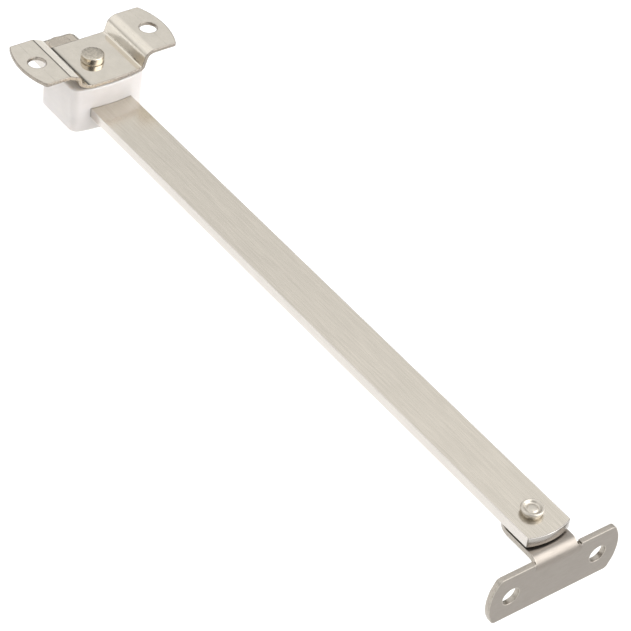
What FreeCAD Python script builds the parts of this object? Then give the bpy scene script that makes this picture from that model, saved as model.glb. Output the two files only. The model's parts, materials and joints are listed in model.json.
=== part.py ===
# Casement window stay: a flat bar that slides through a swivelling friction block.
#
# A bent plate is screwed under the window frame's head.  A pin in the plate carries a nylon block,
# and a flat steel arm slides through the block between two friction pads.  The far end of the arm
# carries a T-shaped bracket on a rivet, and that bracket is screwed to the sash.
#
# Frame: millimetres, +X along the arm towards the sash bracket, +Z up.  The origin is the middle of
# the frame plate's two screw holes, on the face that seats against the window frame.
import FreeCAD, Part
import math
import os
import re

import Sketcher

V = FreeCAD.Vector

# Driving sizes in millimetres: each one is a cell of the sheet.
SIZES = {
    # frame plate
    "plate_sheet": 1.1,
    "plate_depth": 20.8,
    "plate_bow": 0.7,
    "seat_rise": 5.1,
    "bend_lean": 74.0,
    "inner_bend": 0.5,
    "outer_bend": 3.3,
    "frame_hole_pitch": 38.2,
    "tab_inset": 8.5,
    "tab_margin": 2.95,
    "screw_hole": 5.2,
    "tab_bow": 2.45,
    # pivot pin and its washer
    "pin_shank": 4.0,
    "pin_head": 7.0,
    "pin_head_rise": 2.3,
    "pin_tail": 6.4,
    "pin_tail_rise": 1.1,
    "thrust_washer": 10.0,
    "thrust_gap": 0.3,
    # nylon block
    "side_wall": 2.7,
    "back_wall": 2.3,
    "front_wall": 3.9,
    "block_bow": 1.5,
    "block_corner": 2.6,
    "block_roof": 1.5,
    # steel parts inside the block
    "saddle_sheet": 1.2,
    "saddle_inset": 0.8,
    "pad_length": 9.6,
    "upper_pad": 2.75,
    "lower_pad": 1.5,
    "pin_tail_room": 0.3,
    "spring_room": 1.85,
    "spring_sheet": 0.4,
    "spring_width": 8.0,
    "base_sheet": 1.5,
    "base_margin": 1.2,
    # arm, tail stop and rivets
    "arm_width": 14.0,
    "arm_thick": 3.0,
    "tail_travel": 4.3,
    "arm_end": 210.3,
    "arm_end_bow": 1.4,
    "stop_length": 8.8,
    "stop_thick": 3.05,
    "stop_corner": 2.4,
    "stop_rivet": 4.0,
    "stop_rivet_head": 7.0,
    "stop_rivet_rise": 0.45,
    "pivot_inset": 6.9,
    "rivet_shank": 4.0,
    "rivet_head": 6.3,
    "rivet_neck": 5.0,
    "rivet_rise": 1.85,
    "rivet_dimple": 0.6,
    # sash bracket
    "spacer": 9.0,
    "spacer_gap": 0.7,
    "bracket_sheet": 1.6,
    "flange_reach": 12.0,
    "flange_drop": 1.35,
    "flange_height": 15.1,
    "flange_bow": 2.25,
    "flange_corner": 1.6,
    "neck_bend": 3.5,
    "relief_width": 1.6,
    "relief_depth": 1.5,
    "sash_hole_pitch": 28.6,
    "sash_margin": 4.6,
    # clearances
    "running": 0.05,
    "face_gap": 0.05,
    "slot_gap": 0.15,
    "loose": 0.2,
}

# Levels and places that follow from the driving sizes.
PLACES = {
    "plate_top": "-seat_rise",
    "plate_under": "-seat_rise - plate_sheet",
    "bend_turn": "plate_sheet * tan(bend_lean * 1deg / 2)",
    "bend_run": "seat_rise / tan(bend_lean * 1deg)",
    "crease": "frame_hole_pitch / 2 - tab_inset",
    "tab_end": "frame_hole_pitch / 2 + tab_margin",
    "arm_depth": "block_roof + saddle_sheet + pin_tail_rise + pin_tail_room + upper_pad + 2 * face_gap",
    "block_height": "arm_depth + arm_thick + face_gap + lower_pad + spring_room + base_sheet",
    "block_top": "plate_under - thrust_gap",
    "block_under": "block_top - block_height",
    "roof_under": "block_top - block_roof",
    "saddle_under": "roof_under - saddle_sheet",
    "pin_tail_under": "saddle_under - face_gap - pin_tail_rise",
    "arm_top": "block_top - arm_depth",
    "arm_under": "arm_top - arm_thick",
    "base_top": "block_under + base_sheet",
    "lower_pad_under": "arm_under - face_gap - lower_pad",
    "saddle_length": "pad_length - 2 * saddle_inset",
    "leg_inner": "arm_width / 2 + slot_gap",
    "leg_outer": "leg_inner + saddle_sheet",
    "cavity_half_width": "leg_outer + slot_gap",
    "cavity_half_length": "pad_length / 2 + slot_gap",
    "base_half_width": "leg_outer + base_margin",
    "base_half_length": "pad_length / 2 + base_margin",
    "block_width": "2 * (base_half_width + side_wall)",
    "block_back": "base_half_length + back_wall",
    "block_front": "base_half_length + front_wall",
    "arm_tail": "block_back + tail_travel + stop_length",
    "stop_front": "stop_length - arm_tail",
    "stop_top": "arm_top + stop_thick",
    "stop_rivet_x": "stop_length / 2 - arm_tail",
    "bracket_pivot": "arm_end - pivot_inset",
    "flange_face": "bracket_pivot + flange_reach",
    "flange_width": "sash_hole_pitch + 2 * sash_margin",
    "tongue_top": "arm_under - spacer_gap",
    "tongue_under": "tongue_top - bracket_sheet",
    "flange_top": "arm_under - flange_drop",
    "flange_under": "flange_top - flange_height",
    "flange_middle": "flange_top - flange_height / 2",
    "flange_back": "flange_face - bracket_sheet",
}

WORD = re.compile(r"[a-z][a-z_]*")


def expand(text):
    """Turn the words of a formula into references to the sheet's cells."""
    def swap(match):
        """Give one word's reference, worked through the places that it names."""
        word = match.group(0)
        if word in PLACES:
            return "(" + expand(PLACES[word]) + ")"
        if word in SIZES:
            return "Sizes." + word
        return word
    return WORD.sub(swap, text)


def length(text):
    """Write a formula as a length in millimetres for a feature or a sketch."""
    return "(" + expand(text) + ") * 1mm"


def value(sheet, text):
    """Work a formula out as a plain number of millimetres or degrees."""
    result = sheet.evalExpression(expand(text))
    return float(getattr(result, "Value", result))


def make_sheet(doc):
    """Write the driving sizes into the document's sheet."""
    sheet = doc.addObject("Spreadsheet::Sheet", "Sizes")
    for row, (alias, size) in enumerate(SIZES.items(), start=1):
        sheet.set("A%d" % row, alias.replace("_", " "))
        sheet.set("B%d" % row, str(size))
        sheet.setAlias("B%d" % row, alias)
    doc.recompute()
    return sheet


class Piece:
    """One body of the stay, with short calls for the features that shape it."""

    def __init__(self, doc, sheet, label):
        """Add an empty body with this label to the document."""
        self.doc = doc
        self.sheet = sheet
        self.body = doc.addObject("PartDesign::Body", label)
        self.body.Label = label
        self.body.Placement = FreeCAD.Placement()

    def sketch(self, plane, offset="0", across="0"):
        """Attach a sketch to an origin plane, offset along its normal and moved across it."""
        made = self.body.newObject("Sketcher::SketchObject", "Sketch")
        found = [f for f in self.body.Origin.OriginFeatures if f.Role == plane]
        made.AttachmentSupport = [(found[0], "")]
        made.MapMode = "FlatFace"
        made.setExpression("AttachmentOffset.Base.z", length(offset))
        made.setExpression("AttachmentOffset.Base.x", length(across))
        return made

    def fix(self, sketch, constraint, text):
        """Add a dimension to a sketch and bind it to a formula."""
        index = sketch.addConstraint(constraint)
        sketch.setExpression("Constraints[%d]" % index, length(text))

    def circle(self, sketch, x, y, diameter):
        """Draw a circle at a place given by two formulas."""
        centre = V(value(self.sheet, x), value(self.sheet, y), 0)
        radius = value(self.sheet, diameter) / 2
        index = sketch.addGeometry(Part.Circle(centre, V(0, 0, 1), radius))
        self.fix(sketch, Sketcher.Constraint("DistanceX", -1, 1, index, 3, centre.x), x)
        self.fix(sketch, Sketcher.Constraint("DistanceY", -1, 1, index, 3, centre.y), y)
        self.fix(sketch, Sketcher.Constraint("Diameter", index, 2 * radius), diameter)

    def outline(self, sketch, corners, bows=None):
        """Close a loop through the corners, counter-clockwise, with arcs where bows says.

        bows gives, for the side that starts at a corner, its chord and its bow outwards.
        A bow that starts with a minus sign turns the arc into the loop.
        """
        bows = bows or {}
        points = [V(value(self.sheet, x), value(self.sheet, y), 0) for x, y in corners]
        starts, ends = [], []
        for side, start in enumerate(points):
            end = points[(side + 1) % len(points)]
            if side not in bows:
                index = sketch.addGeometry(Part.LineSegment(start, end))
                starts.append((index, 1))
                ends.append((index, 2))
                continue
            chord, bow = bows[side]
            radius = "((%s)^2 / 4 + (%s)^2) / (2 * abs(%s))" % (chord, bow, bow)
            inward = value(self.sheet, bow) < 0
            index = sketch.addGeometry(arc_between(start, end, value(self.sheet, radius), inward))
            starts.append((index, 2 if inward else 1))
            ends.append((index, 1 if inward else 2))
            self.fix(sketch, Sketcher.Constraint("Radius", index, value(self.sheet, radius)), radius)
        for side, (x, y) in enumerate(corners):
            sketch.addConstraint(Sketcher.Constraint("Coincident", *ends[side - 1], *starts[side]))
            point = points[side]
            self.fix(sketch, Sketcher.Constraint("DistanceX", -1, 1, *starts[side], point.x), x)
            self.fix(sketch, Sketcher.Constraint("DistanceY", -1, 1, *starts[side], point.y), y)

    def box_outline(self, sketch, low_x, low_y, high_x, high_y):
        """Draw a rectangle between two corners."""
        self.outline(sketch, [(low_x, low_y), (high_x, low_y), (high_x, high_y), (low_x, high_y)])

    def pad(self, sketch, thickness, midplane=False):
        """Raise a sketch along its normal, or to both sides of its plane."""
        feature = self.body.newObject("PartDesign::Pad", "Pad")
        feature.Profile = sketch
        feature.setExpression("Length", length(thickness))
        feature.Midplane = midplane
        self.finish(feature)

    def pocket(self, sketch, depth, midplane=False):
        """Cut a sketch into the body against its normal, and make sure that it cuts."""
        before = self.body.Shape.Volume
        feature = self.body.newObject("PartDesign::Pocket", "Pocket")
        feature.Profile = sketch
        feature.setExpression("Length", length(depth))
        feature.Midplane = midplane
        self.finish(feature)
        if self.body.Shape.Volume > before - 1e-6:
            raise RuntimeError("a pocket in %s cut nothing" % self.body.Label)

    def turn(self, sketch):
        """Turn a profile about its sketch's upright axis."""
        feature = self.body.newObject("PartDesign::Revolution", "Revolution")
        feature.Profile = sketch
        feature.ReferenceAxis = (sketch, ["V_Axis"])
        feature.Angle = 360
        self.finish(feature)

    def fillet(self, radius, chosen):
        """Round the edges that the test picks out of the body so far."""
        base = self.body.Tip
        names = ["Edge%d" % i for i, edge in enumerate(base.Shape.Edges, start=1) if chosen(edge)]
        if not names:
            raise RuntimeError("no edge to round in %s" % self.body.Label)
        feature = self.body.newObject("PartDesign::Fillet", "Fillet")
        feature.Base = (base, names)
        feature.setExpression("Radius", length(radius))
        self.finish(feature)

    def line_at(self, axis, first, second):
        """Give a test for straight edges along an axis at two coordinates, in X, Y, Z order."""
        others = [i for i in range(3) if i != axis]
        wanted = (value(self.sheet, first), value(self.sheet, second))

        def chosen(edge):
            """Tell whether one edge lies on the wanted line."""
            places = [v.Point for v in edge.Vertexes]
            if len(places) != 2 or abs(places[0][axis] - places[1][axis]) < 0.05:
                return False
            return all(abs(p[o] - w) < 1e-3 for p in places for o, w in zip(others, wanted))
        return chosen

    def finish(self, feature):
        """Make a feature the body's tip and recompute."""
        self.body.Tip = feature
        self.doc.recompute()


def arc_between(start, end, radius, inward):
    """Make the arc from start to end that bows to the right, or to the left when inward."""
    chord = end - start
    half = chord.Length / 2
    left = V(-chord.y, chord.x, 0).normalize()
    away = math.sqrt(max(radius * radius - half * half, 0.0))
    centre = (start + end) * 0.5 + left * (-away if inward else away)
    first, last = (end, start) if inward else (start, end)
    angle_from = math.atan2(first.y - centre.y, first.x - centre.x)
    angle_to = math.atan2(last.y - centre.y, last.x - centre.x)
    if angle_to < angle_from:
        angle_to += 2 * math.pi
    return Part.ArcOfCircle(Part.Circle(centre, V(0, 0, 1), radius), angle_from, angle_to)


def frame_plate(piece):
    """Bent plate: a low middle, two steep bends and two raised tabs with a screw hole each."""
    crest = "(crease + bend_run)"
    reach = "(tab_end + 2 * tab_bow)"
    upper = [(reach, "0"), (crest, "0"), ("crease", "plate_top"),
             ("-crease", "plate_top"), ("-" + crest, "0"), ("-" + reach, "0")]
    lower = [("-" + reach, "-plate_sheet"), ("-(crease + bend_run + bend_turn)", "-plate_sheet"),
             ("-(crease + bend_turn)", "plate_under"), ("crease + bend_turn", "plate_under"),
             ("crease + bend_run + bend_turn", "-plate_sheet"), (reach, "-plate_sheet")]
    section = piece.sketch("YZ_Plane")
    piece.outline(section, upper + lower)
    piece.pad(section, "plate_depth + 4 * plate_bow", midplane=True)
    for side in ("", "-"):
        piece.fillet("inner_bend", piece.line_at(0, side + "crease", "plate_top"))
        piece.fillet("outer_bend", piece.line_at(0, side + crest, "0"))
        piece.fillet("outer_bend - plate_sheet",
                     piece.line_at(0, side + "(crease + bend_run + bend_turn)", "-plate_sheet"))
        piece.fillet("inner_bend + plate_sheet",
                     piece.line_at(0, side + "(crease + bend_turn)", "plate_under"))
    blank = piece.sketch("XY_Plane", "1")
    piece.box_outline(blank, "-plate_depth", "-2 * tab_end", "plate_depth", "2 * tab_end")
    edge = [("-plate_depth / 2", "tab_end"), ("-plate_depth / 2", "-tab_end"),
            ("plate_depth / 2", "-tab_end"), ("plate_depth / 2", "-crease"),
            ("plate_depth / 2", "crease"), ("plate_depth / 2", "tab_end")]
    bows = {1: ("plate_depth", "tab_bow"), 3: ("2 * crease", "plate_bow"), 5: ("plate_depth", "tab_bow")}
    piece.outline(blank, edge, bows)
    piece.pocket(blank, "seat_rise + plate_sheet + 2")
    holes = piece.sketch("XY_Plane", "1")
    piece.circle(holes, "0", "frame_hole_pitch / 2", "screw_hole")
    piece.circle(holes, "0", "-frame_hole_pitch / 2", "screw_hole")
    piece.circle(holes, "0", "0", "pin_shank")
    piece.pocket(holes, "seat_rise + plate_sheet + 2")


def pivot_pin(piece):
    """Headed pin through the plate, spread under the saddle's web."""
    profile = piece.sketch("XZ_Plane")
    piece.outline(profile, [
        ("0", "pin_tail_under"), ("pin_tail / 2", "pin_tail_under"),
        ("pin_tail / 2", "saddle_under - face_gap"), ("pin_shank / 2", "saddle_under - face_gap"),
        ("pin_shank / 2", "plate_top"), ("pin_head / 2", "plate_top"),
        ("pin_head / 2 - 0.15", "plate_top + pin_head_rise"), ("0", "plate_top + pin_head_rise")])
    piece.turn(profile)


def thrust_washer(piece):
    """Thin washer between the plate and the block."""
    ring(piece, "0", "block_top + face_gap", "thrust_gap - face_gap", "thrust_washer", "pin_shank")


def ring(piece, x, under, thick, outer, hole):
    """Make a flat ring about an upright axis."""
    sketch = piece.sketch("XY_Plane", under)
    piece.circle(sketch, x, "0", outer)
    piece.circle(sketch, x, "0", hole)
    piece.pad(sketch, thick)


def block_housing(piece):
    """Nylon block: bowed front, open cavity from below and a slot for the arm right through."""
    body = piece.sketch("XY_Plane", "block_under")
    half = "block_width / 2"
    corners = [("-block_back", "-" + half), ("block_front", "-" + half),
               ("block_front", half), ("-block_back", half)]
    piece.outline(body, corners, {1: ("block_width", "block_bow")})
    piece.pad(body, "block_height")
    for x in ("-block_back", "block_front"):
        for y in ("-block_width / 2", "block_width / 2"):
            piece.fillet("block_corner", piece.line_at(2, x, y))
    cavity = piece.sketch("XY_Plane", "roof_under")
    piece.box_outline(cavity, "-cavity_half_length", "-cavity_half_width",
                      "cavity_half_length", "cavity_half_width")
    piece.pocket(cavity, "block_height - block_roof + 1")
    recess = piece.sketch("XY_Plane", "base_top")
    piece.box_outline(recess, "-base_half_length - running", "-base_half_width - running",
                      "base_half_length + running", "base_half_width + running")
    piece.pocket(recess, "base_sheet + 1")
    slot = piece.sketch("YZ_Plane")
    piece.box_outline(slot, "-leg_inner", "arm_under - slot_gap", "leg_inner", "arm_top + slot_gap")
    piece.pocket(slot, "4 * block_width", midplane=True)
    bore = piece.sketch("XY_Plane", "block_top + 1")
    piece.circle(bore, "0", "0", "pin_shank + 2 * loose")
    piece.pocket(bore, "block_roof + 2")


def pivot_saddle(piece):
    """Steel saddle: a web under the block's roof and two legs that straddle the arm."""
    section = piece.sketch("YZ_Plane")
    piece.outline(section, [
        ("leg_outer", "roof_under"), ("-leg_outer", "roof_under"), ("-leg_outer", "block_under"),
        ("-leg_inner", "block_under"), ("-leg_inner", "saddle_under"), ("leg_inner", "saddle_under"),
        ("leg_inner", "block_under"), ("leg_outer", "block_under")])
    piece.pad(section, "saddle_length", midplane=True)
    bore = piece.sketch("XY_Plane", "block_top")
    piece.circle(bore, "0", "0", "pin_shank + 2 * running")
    piece.pocket(bore, "block_roof + saddle_sheet + 1")


def friction_pad(piece, under, thick):
    """Flat friction pad that lies between the saddle's legs."""
    sketch = piece.sketch("XY_Plane", under)
    piece.box_outline(sketch, "-pad_length / 2", "running - leg_inner",
                      "pad_length / 2", "leg_inner - running")
    piece.pad(sketch, thick)


def pressure_spring(piece):
    """Arched leaf spring between the base and the lower pad."""
    rise = "(lower_pad_under - base_top - spring_sheet)"
    half = "(pad_length / 2 - running)"
    section = piece.sketch("XZ_Plane")
    corners = [("-" + half, "base_top"), (half, "base_top"), (half, "base_top + spring_sheet"),
               ("-" + half, "base_top + spring_sheet")]
    chord = "(2 * %s)" % half
    piece.outline(section, corners, {0: (chord, "-" + rise), 2: (chord, rise)})
    piece.pad(section, "spring_width", midplane=True)


def base_plate(piece):
    """Steel plate that closes the block from below, held by the saddle's clinched legs."""
    sketch = piece.sketch("XY_Plane", "block_under")
    piece.box_outline(sketch, "-base_half_length", "-base_half_width", "base_half_length", "base_half_width")
    piece.pad(sketch, "base_sheet")
    slots = piece.sketch("XY_Plane", "base_top + 1")
    for near, far in (("leg_inner - running", "leg_outer + running"),
                      ("-leg_outer - running", "running - leg_inner")):
        piece.box_outline(slots, "-saddle_length / 2 - running", near, "saddle_length / 2 + running", far)
    piece.pocket(slots, "base_sheet + 2")


def arm_bar(piece):
    """Flat bar with a square tail and a gently bowed end."""
    sketch = piece.sketch("XY_Plane", "arm_under")
    half = "arm_width / 2"
    corners = [("-arm_tail", "-" + half), ("arm_end", "-" + half),
               ("arm_end", half), ("-arm_tail", half)]
    piece.outline(sketch, corners, {1: ("arm_width", "arm_end_bow")})
    piece.circle(sketch, "bracket_pivot", "0", "rivet_shank")
    piece.circle(sketch, "stop_rivet_x", "0", "stop_rivet")
    piece.pad(sketch, "arm_thick")


def tail_stop(piece):
    """Stop block on the arm's tail, rounded at its back corners."""
    sketch = piece.sketch("XY_Plane", "arm_top")
    piece.box_outline(sketch, "-arm_tail", "-arm_width / 2", "stop_front", "arm_width / 2")
    piece.circle(sketch, "stop_rivet_x", "0", "stop_rivet")
    piece.pad(sketch, "stop_thick")
    for y in ("-arm_width / 2", "arm_width / 2"):
        piece.fillet("stop_corner", piece.line_at(2, "-arm_tail", y))


def tail_stop_rivet(piece):
    """Low-headed rivet that holds the stop to the arm."""
    profile = piece.sketch("XZ_Plane", "0", "stop_rivet_x")
    piece.outline(profile, [
        ("0", "arm_under - stop_rivet_rise"), ("stop_rivet_head / 2", "arm_under - stop_rivet_rise"),
        ("stop_rivet_head / 2", "arm_under"), ("stop_rivet / 2", "arm_under"), ("stop_rivet / 2", "stop_top"),
        ("stop_rivet_head / 2", "stop_top"), ("stop_rivet_head / 2", "stop_top + stop_rivet_rise"),
        ("0", "stop_top + stop_rivet_rise")])
    piece.turn(profile)


def bracket_rivet(piece):
    """Rivet at the arm's end: a dimpled head above the arm and a flat head under the bracket."""
    head = "(arm_top + rivet_rise)"
    under = "(tongue_under - face_gap)"
    profile = piece.sketch("XZ_Plane", "0", "bracket_pivot")
    piece.outline(profile, [
        ("0", under + " - rivet_rise / 2"), ("rivet_head / 2", under + " - rivet_rise / 2"),
        ("rivet_head / 2", under), ("rivet_shank / 2", under), ("rivet_shank / 2", "arm_top"),
        ("rivet_neck / 2", "arm_top"), ("rivet_neck / 2", "arm_top + rivet_rise / 4"),
        ("rivet_head / 2", "arm_top + rivet_rise / 2"), ("rivet_head / 2", head + " - rivet_rise / 8"),
        ("rivet_neck / 2", head), ("rivet_shank / 3", head + " - rivet_dimple"),
        ("0", head + " - rivet_dimple")])
    piece.turn(profile)


def bracket_spacer(piece):
    """Washer that keeps the bracket clear of the arm."""
    ring(piece, "bracket_pivot", "tongue_top + face_gap", "spacer_gap - face_gap", "spacer", "rivet_shank")


def sash_bracket(piece):
    """T-shaped bracket: a tongue under the arm, a bend and a wide flange for the sash screws."""
    reach = "flange_width + 2 * flange_bow"
    section = piece.sketch("XZ_Plane")
    tail = "bracket_pivot - arm_width / 2"
    piece.outline(section, [
        (tail, "tongue_under"), ("flange_back", "tongue_under"), ("flange_back", "flange_under"),
        ("flange_face", "flange_under"), ("flange_face", "tongue_top"), (tail, "tongue_top")])
    piece.pad(section, reach, midplane=True)
    piece.fillet("neck_bend", piece.line_at(1, "flange_face", "tongue_top"))
    piece.fillet("neck_bend - bracket_sheet", piece.line_at(1, "flange_back", "tongue_under"))
    trim_sides(piece, tail + " - 1", "flange_back", "tongue_top + 1 - flange_under")
    trim_sides(piece, "flange_back - 1", "flange_face + 1", "tongue_top + 1 - flange_top")
    for y in ("-arm_width / 2", "arm_width / 2"):
        piece.fillet("arm_width / 2 - running", piece.line_at(2, tail, y))
    flange_outline(piece, reach)
    bore = piece.sketch("XY_Plane", "tongue_top + 1")
    piece.circle(bore, "bracket_pivot", "0", "rivet_shank + 2 * running")
    piece.pocket(bore, "bracket_sheet + 2")
    screws = piece.sketch("YZ_Plane", "flange_face + 1")
    piece.circle(screws, "sash_hole_pitch / 2", "flange_middle", "screw_hole")
    piece.circle(screws, "-sash_hole_pitch / 2", "flange_middle", "screw_hole")
    piece.pocket(screws, "bracket_sheet + 2")


def trim_sides(piece, near_x, far_x, depth):
    """Cut the bracket's blank away at both sides of the tongue, from above down to a depth."""
    sides = piece.sketch("XY_Plane", "tongue_top + 1")
    piece.box_outline(sides, near_x, "arm_width / 2", far_x, "flange_width")
    piece.box_outline(sides, near_x, "-flange_width", far_x, "-arm_width / 2")
    piece.pocket(sides, depth)


def flange_outline(piece, reach):
    """Bow the flange's two ends, round their corners and relieve the bend at the neck's sides."""
    ends = piece.sketch("YZ_Plane", "flange_face + 1")
    half = "flange_width / 2"
    chord = "flange_height"
    for side, order in (("", 1), ("-", -1)):
        far = side + "(%s)" % reach
        corners = [(side + half, "flange_top"), (side + half, "flange_under"),
                   (far, "flange_under - 1"), (far, "flange_top + 1")]
        bows = {0: (chord, "-flange_bow")}
        if order < 0:
            corners = [corners[1], corners[0], corners[3], corners[2]]
        piece.outline(ends, corners, bows)
    piece.pocket(ends, "bracket_sheet + 2")
    for y in ("flange_width / 2", "-flange_width / 2"):
        for z in ("flange_top", "flange_under"):
            piece.fillet("flange_corner", piece.line_at(0, y, z))
    reliefs = piece.sketch("YZ_Plane", "flange_face + 1")
    for near, far in (("arm_width / 2", "arm_width / 2 + relief_width"),
                      ("-arm_width / 2 - relief_width", "-arm_width / 2")):
        piece.box_outline(reliefs, near, "flange_top - relief_depth", far, "flange_top + 1")
    piece.pocket(reliefs, "bracket_sheet + 2")


BUILDERS = {
    "frame_plate": frame_plate,
    "pivot_pin": pivot_pin,
    "thrust_washer": thrust_washer,
    "block_housing": block_housing,
    "pivot_saddle": pivot_saddle,
    "upper_friction_pad": lambda piece: friction_pad(
        piece, "arm_top + face_gap", "upper_pad"),
    "lower_friction_pad": lambda piece: friction_pad(piece, "lower_pad_under", "lower_pad"),
    "pressure_spring": pressure_spring,
    "base_plate": base_plate,
    "arm_bar": arm_bar,
    "tail_stop": tail_stop,
    "tail_stop_rivet": tail_stop_rivet,
    "bracket_rivet": bracket_rivet,
    "bracket_spacer": bracket_spacer,
    "sash_bracket": sash_bracket,
}


def check(doc, pieces):
    """Stop if any object failed or any piece has no valid solid."""
    for thing in doc.Objects:
        if "Invalid" in thing.State or "Error" in thing.State:
            raise RuntimeError("%s failed: %s" % (thing.Label, thing.State))
    for piece in pieces:
        shape = piece.body.Shape
        if shape.isNull() or not shape.isValid() or len(shape.Solids) != 1:
            raise RuntimeError("%s has no single valid solid" % piece.body.Label)


def main():
    """Build every piece, check the document and write one STEP file for each piece."""
    doc = FreeCAD.newDocument("window_stay")
    sheet = make_sheet(doc)
    pieces = []
    for label, build in BUILDERS.items():
        piece = Piece(doc, sheet, label)
        build(piece)
        pieces.append(piece)
    doc.recompute()
    check(doc, pieces)
    os.makedirs("parts", exist_ok=True)
    for piece in pieces:
        piece.body.Shape.exportStep(os.path.join("parts", piece.body.Label + ".step"))
        print("%-20s %9.2f mm3" % (piece.body.Label, piece.body.Shape.Volume))


main()
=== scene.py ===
"""Dress the casement window stay: bent sheet, brushed bar, moulded block, rivets, light and camera.

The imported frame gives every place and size. Each visible piece is a surface worked out on a grid or
along a profile, in metres, in the frame's own axes: +X along the arm, +Z towards the window frame.
"""
import json
import logging
import math
from dataclasses import dataclass, field
from enum import Enum
from typing import Iterable, Sequence

import bmesh
import bpy
import numpy as np
from mathutils import Matrix, Vector


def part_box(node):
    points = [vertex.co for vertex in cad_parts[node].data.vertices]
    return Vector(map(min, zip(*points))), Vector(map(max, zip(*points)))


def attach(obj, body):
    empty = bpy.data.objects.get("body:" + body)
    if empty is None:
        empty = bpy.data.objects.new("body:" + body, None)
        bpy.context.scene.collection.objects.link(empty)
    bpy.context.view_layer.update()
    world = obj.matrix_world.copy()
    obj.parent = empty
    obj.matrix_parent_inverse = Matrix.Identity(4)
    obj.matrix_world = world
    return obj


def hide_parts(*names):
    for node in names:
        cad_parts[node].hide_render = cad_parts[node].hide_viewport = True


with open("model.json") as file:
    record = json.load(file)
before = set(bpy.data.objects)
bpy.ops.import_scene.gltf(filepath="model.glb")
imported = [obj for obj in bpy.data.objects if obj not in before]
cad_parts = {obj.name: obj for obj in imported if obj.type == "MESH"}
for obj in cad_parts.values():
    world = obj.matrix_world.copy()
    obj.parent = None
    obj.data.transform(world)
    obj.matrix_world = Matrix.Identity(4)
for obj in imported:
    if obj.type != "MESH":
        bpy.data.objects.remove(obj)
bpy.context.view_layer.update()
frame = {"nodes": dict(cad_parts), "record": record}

LOG = logging.getLogger("window_stay")
MM = 0.001
SMOOTH_ANGLE = math.radians(34.0)
MERGE_DISTANCE = 1e-6

Socket = bpy.types.NodeSocket
Triple = tuple[float, float, float]
Array = np.ndarray


# ---------------------------------------------------------------- the frame's places


@dataclass(frozen=True)
class Span:
    """The box that one CAD node fills at rest."""

    low: Array
    high: Array

    @property
    def middle(self) -> Array:
        """The box's centre."""
        return (self.low + self.high) / 2

    @property
    def size(self) -> Array:
        """The box's three sides."""
        return self.high - self.low


def span(node: str) -> Span:
    """Read a node's box from the frame.

    Args:
        node: The CAD node's name.

    Returns:
        Its lowest and highest corners.
    """
    low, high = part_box(node)
    return Span(np.array(low, float), np.array(high, float))


def mount(name: str) -> dict:
    """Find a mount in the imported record.

    Args:
        name: The mount's name.

    Returns:
        The mount's entry, with its place and dimensions.
    """
    return next(m for m in frame["record"]["mounts"] if m["name"] == name)


def joint_place(name: str) -> Array:
    """Find where a hinge stands.

    Args:
        name: The joint's name.

    Returns:
        A point on its axis.
    """
    joints = frame["record"]["behaviour"]["joints"]
    return np.array(next(j for j in joints if j["name"] == name)["pos_m"], float)


# ---------------------------------------------------------------- mesh tools


def grid_faces(rows: int, columns: int, wrap: bool = False) -> list[tuple[int, ...]]:
    """Join a grid of vertices into quads.

    Args:
        rows: Vertices along the first direction.
        columns: Vertices along the second direction.
        wrap: True to join each row's last vertex to its first.

    Returns:
        One quad for each cell.
    """
    cells = columns if wrap else columns - 1
    row, column = np.meshgrid(np.arange(rows - 1), np.arange(cells), indexing="ij")
    here, after = row * columns + column, row * columns + (column + 1) % columns
    quads = np.stack([here, after, after + columns, here + columns], axis=-1)
    return [tuple(q) for q in quads.reshape(-1, 4).tolist()]


@dataclass
class Skin:
    """Vertices and faces gathered patch by patch into one closed mesh."""

    points: list[Array] = field(default_factory=list)
    faces: list[tuple[int, ...]] = field(default_factory=list)
    finishes: list[int] = field(default_factory=list)
    count: int = 0

    def add(self, points: Array, faces: Iterable[tuple[int, ...]], finish: int = 0) -> None:
        """Add a patch.

        Args:
            points: Its vertices, an array of N by 3.
            faces: Its faces, counted from the patch's own first vertex.
            finish: 0 for the piece's main finish and 1 for its cut edges.
        """
        shifted = [tuple(i + self.count for i in face) for face in faces]
        self.faces.extend(shifted)
        self.finishes.extend([finish] * len(shifted))
        self.points.append(points.reshape(-1, 3))
        self.count += len(self.points[-1])

    def add_grid(self, grid: Array, wrap: bool = False, finish: int = 0) -> None:
        """Add a grid, an array of R by C by 3, whose rows are closed rings when it wraps."""
        self.add(grid, grid_faces(*grid.shape[:2], wrap), finish)

    def build(self, name: str) -> bpy.types.Object:
        """Make the mesh: merge the seams, turn the faces outwards and smooth all but real edges.

        Args:
            name: The piece's name.

        Returns:
            The new object, at the origin, with its place in its mesh.
        """
        mesh = bpy.data.meshes.new(name)
        mesh.from_pydata(np.concatenate(self.points).tolist(), [], self.faces)
        for _ in ("main finish", "cut edges"):
            mesh.materials.append(None)
        mesh.polygons.foreach_set("material_index", self.finishes)
        work = bmesh.new()
        work.from_mesh(mesh)
        bmesh.ops.remove_doubles(work, verts=work.verts, dist=MERGE_DISTANCE)
        bmesh.ops.recalc_face_normals(work, faces=work.faces)
        open_edges = sum(1 for edge in work.edges if not edge.is_manifold)
        if open_edges:
            LOG.warning("%s has %d edges that are not closed", name, open_edges)
        work.to_mesh(mesh)
        work.free()
        mesh.shade_smooth()
        mesh.set_sharp_from_angle(angle=SMOOTH_ANGLE)
        piece = bpy.data.objects.new(name, mesh)
        bpy.context.scene.collection.objects.link(piece)
        return piece


def signed_area(loop: Array) -> float:
    """Work out an outline's area, above zero when it runs counter-clockwise."""
    after = np.roll(loop, -1, axis=0)
    return float(np.sum(loop[:, 0] * after[:, 1] - loop[:, 1] * after[:, 0]) / 2)


def line(start: Sequence[float], stop: Sequence[float], count: int) -> Array:
    """Space points evenly from start to stop, both ends among them."""
    share = np.linspace(0, 1, count)[:, None]
    return np.array(start, float) * (1 - share) + np.array(stop, float) * share


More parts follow.
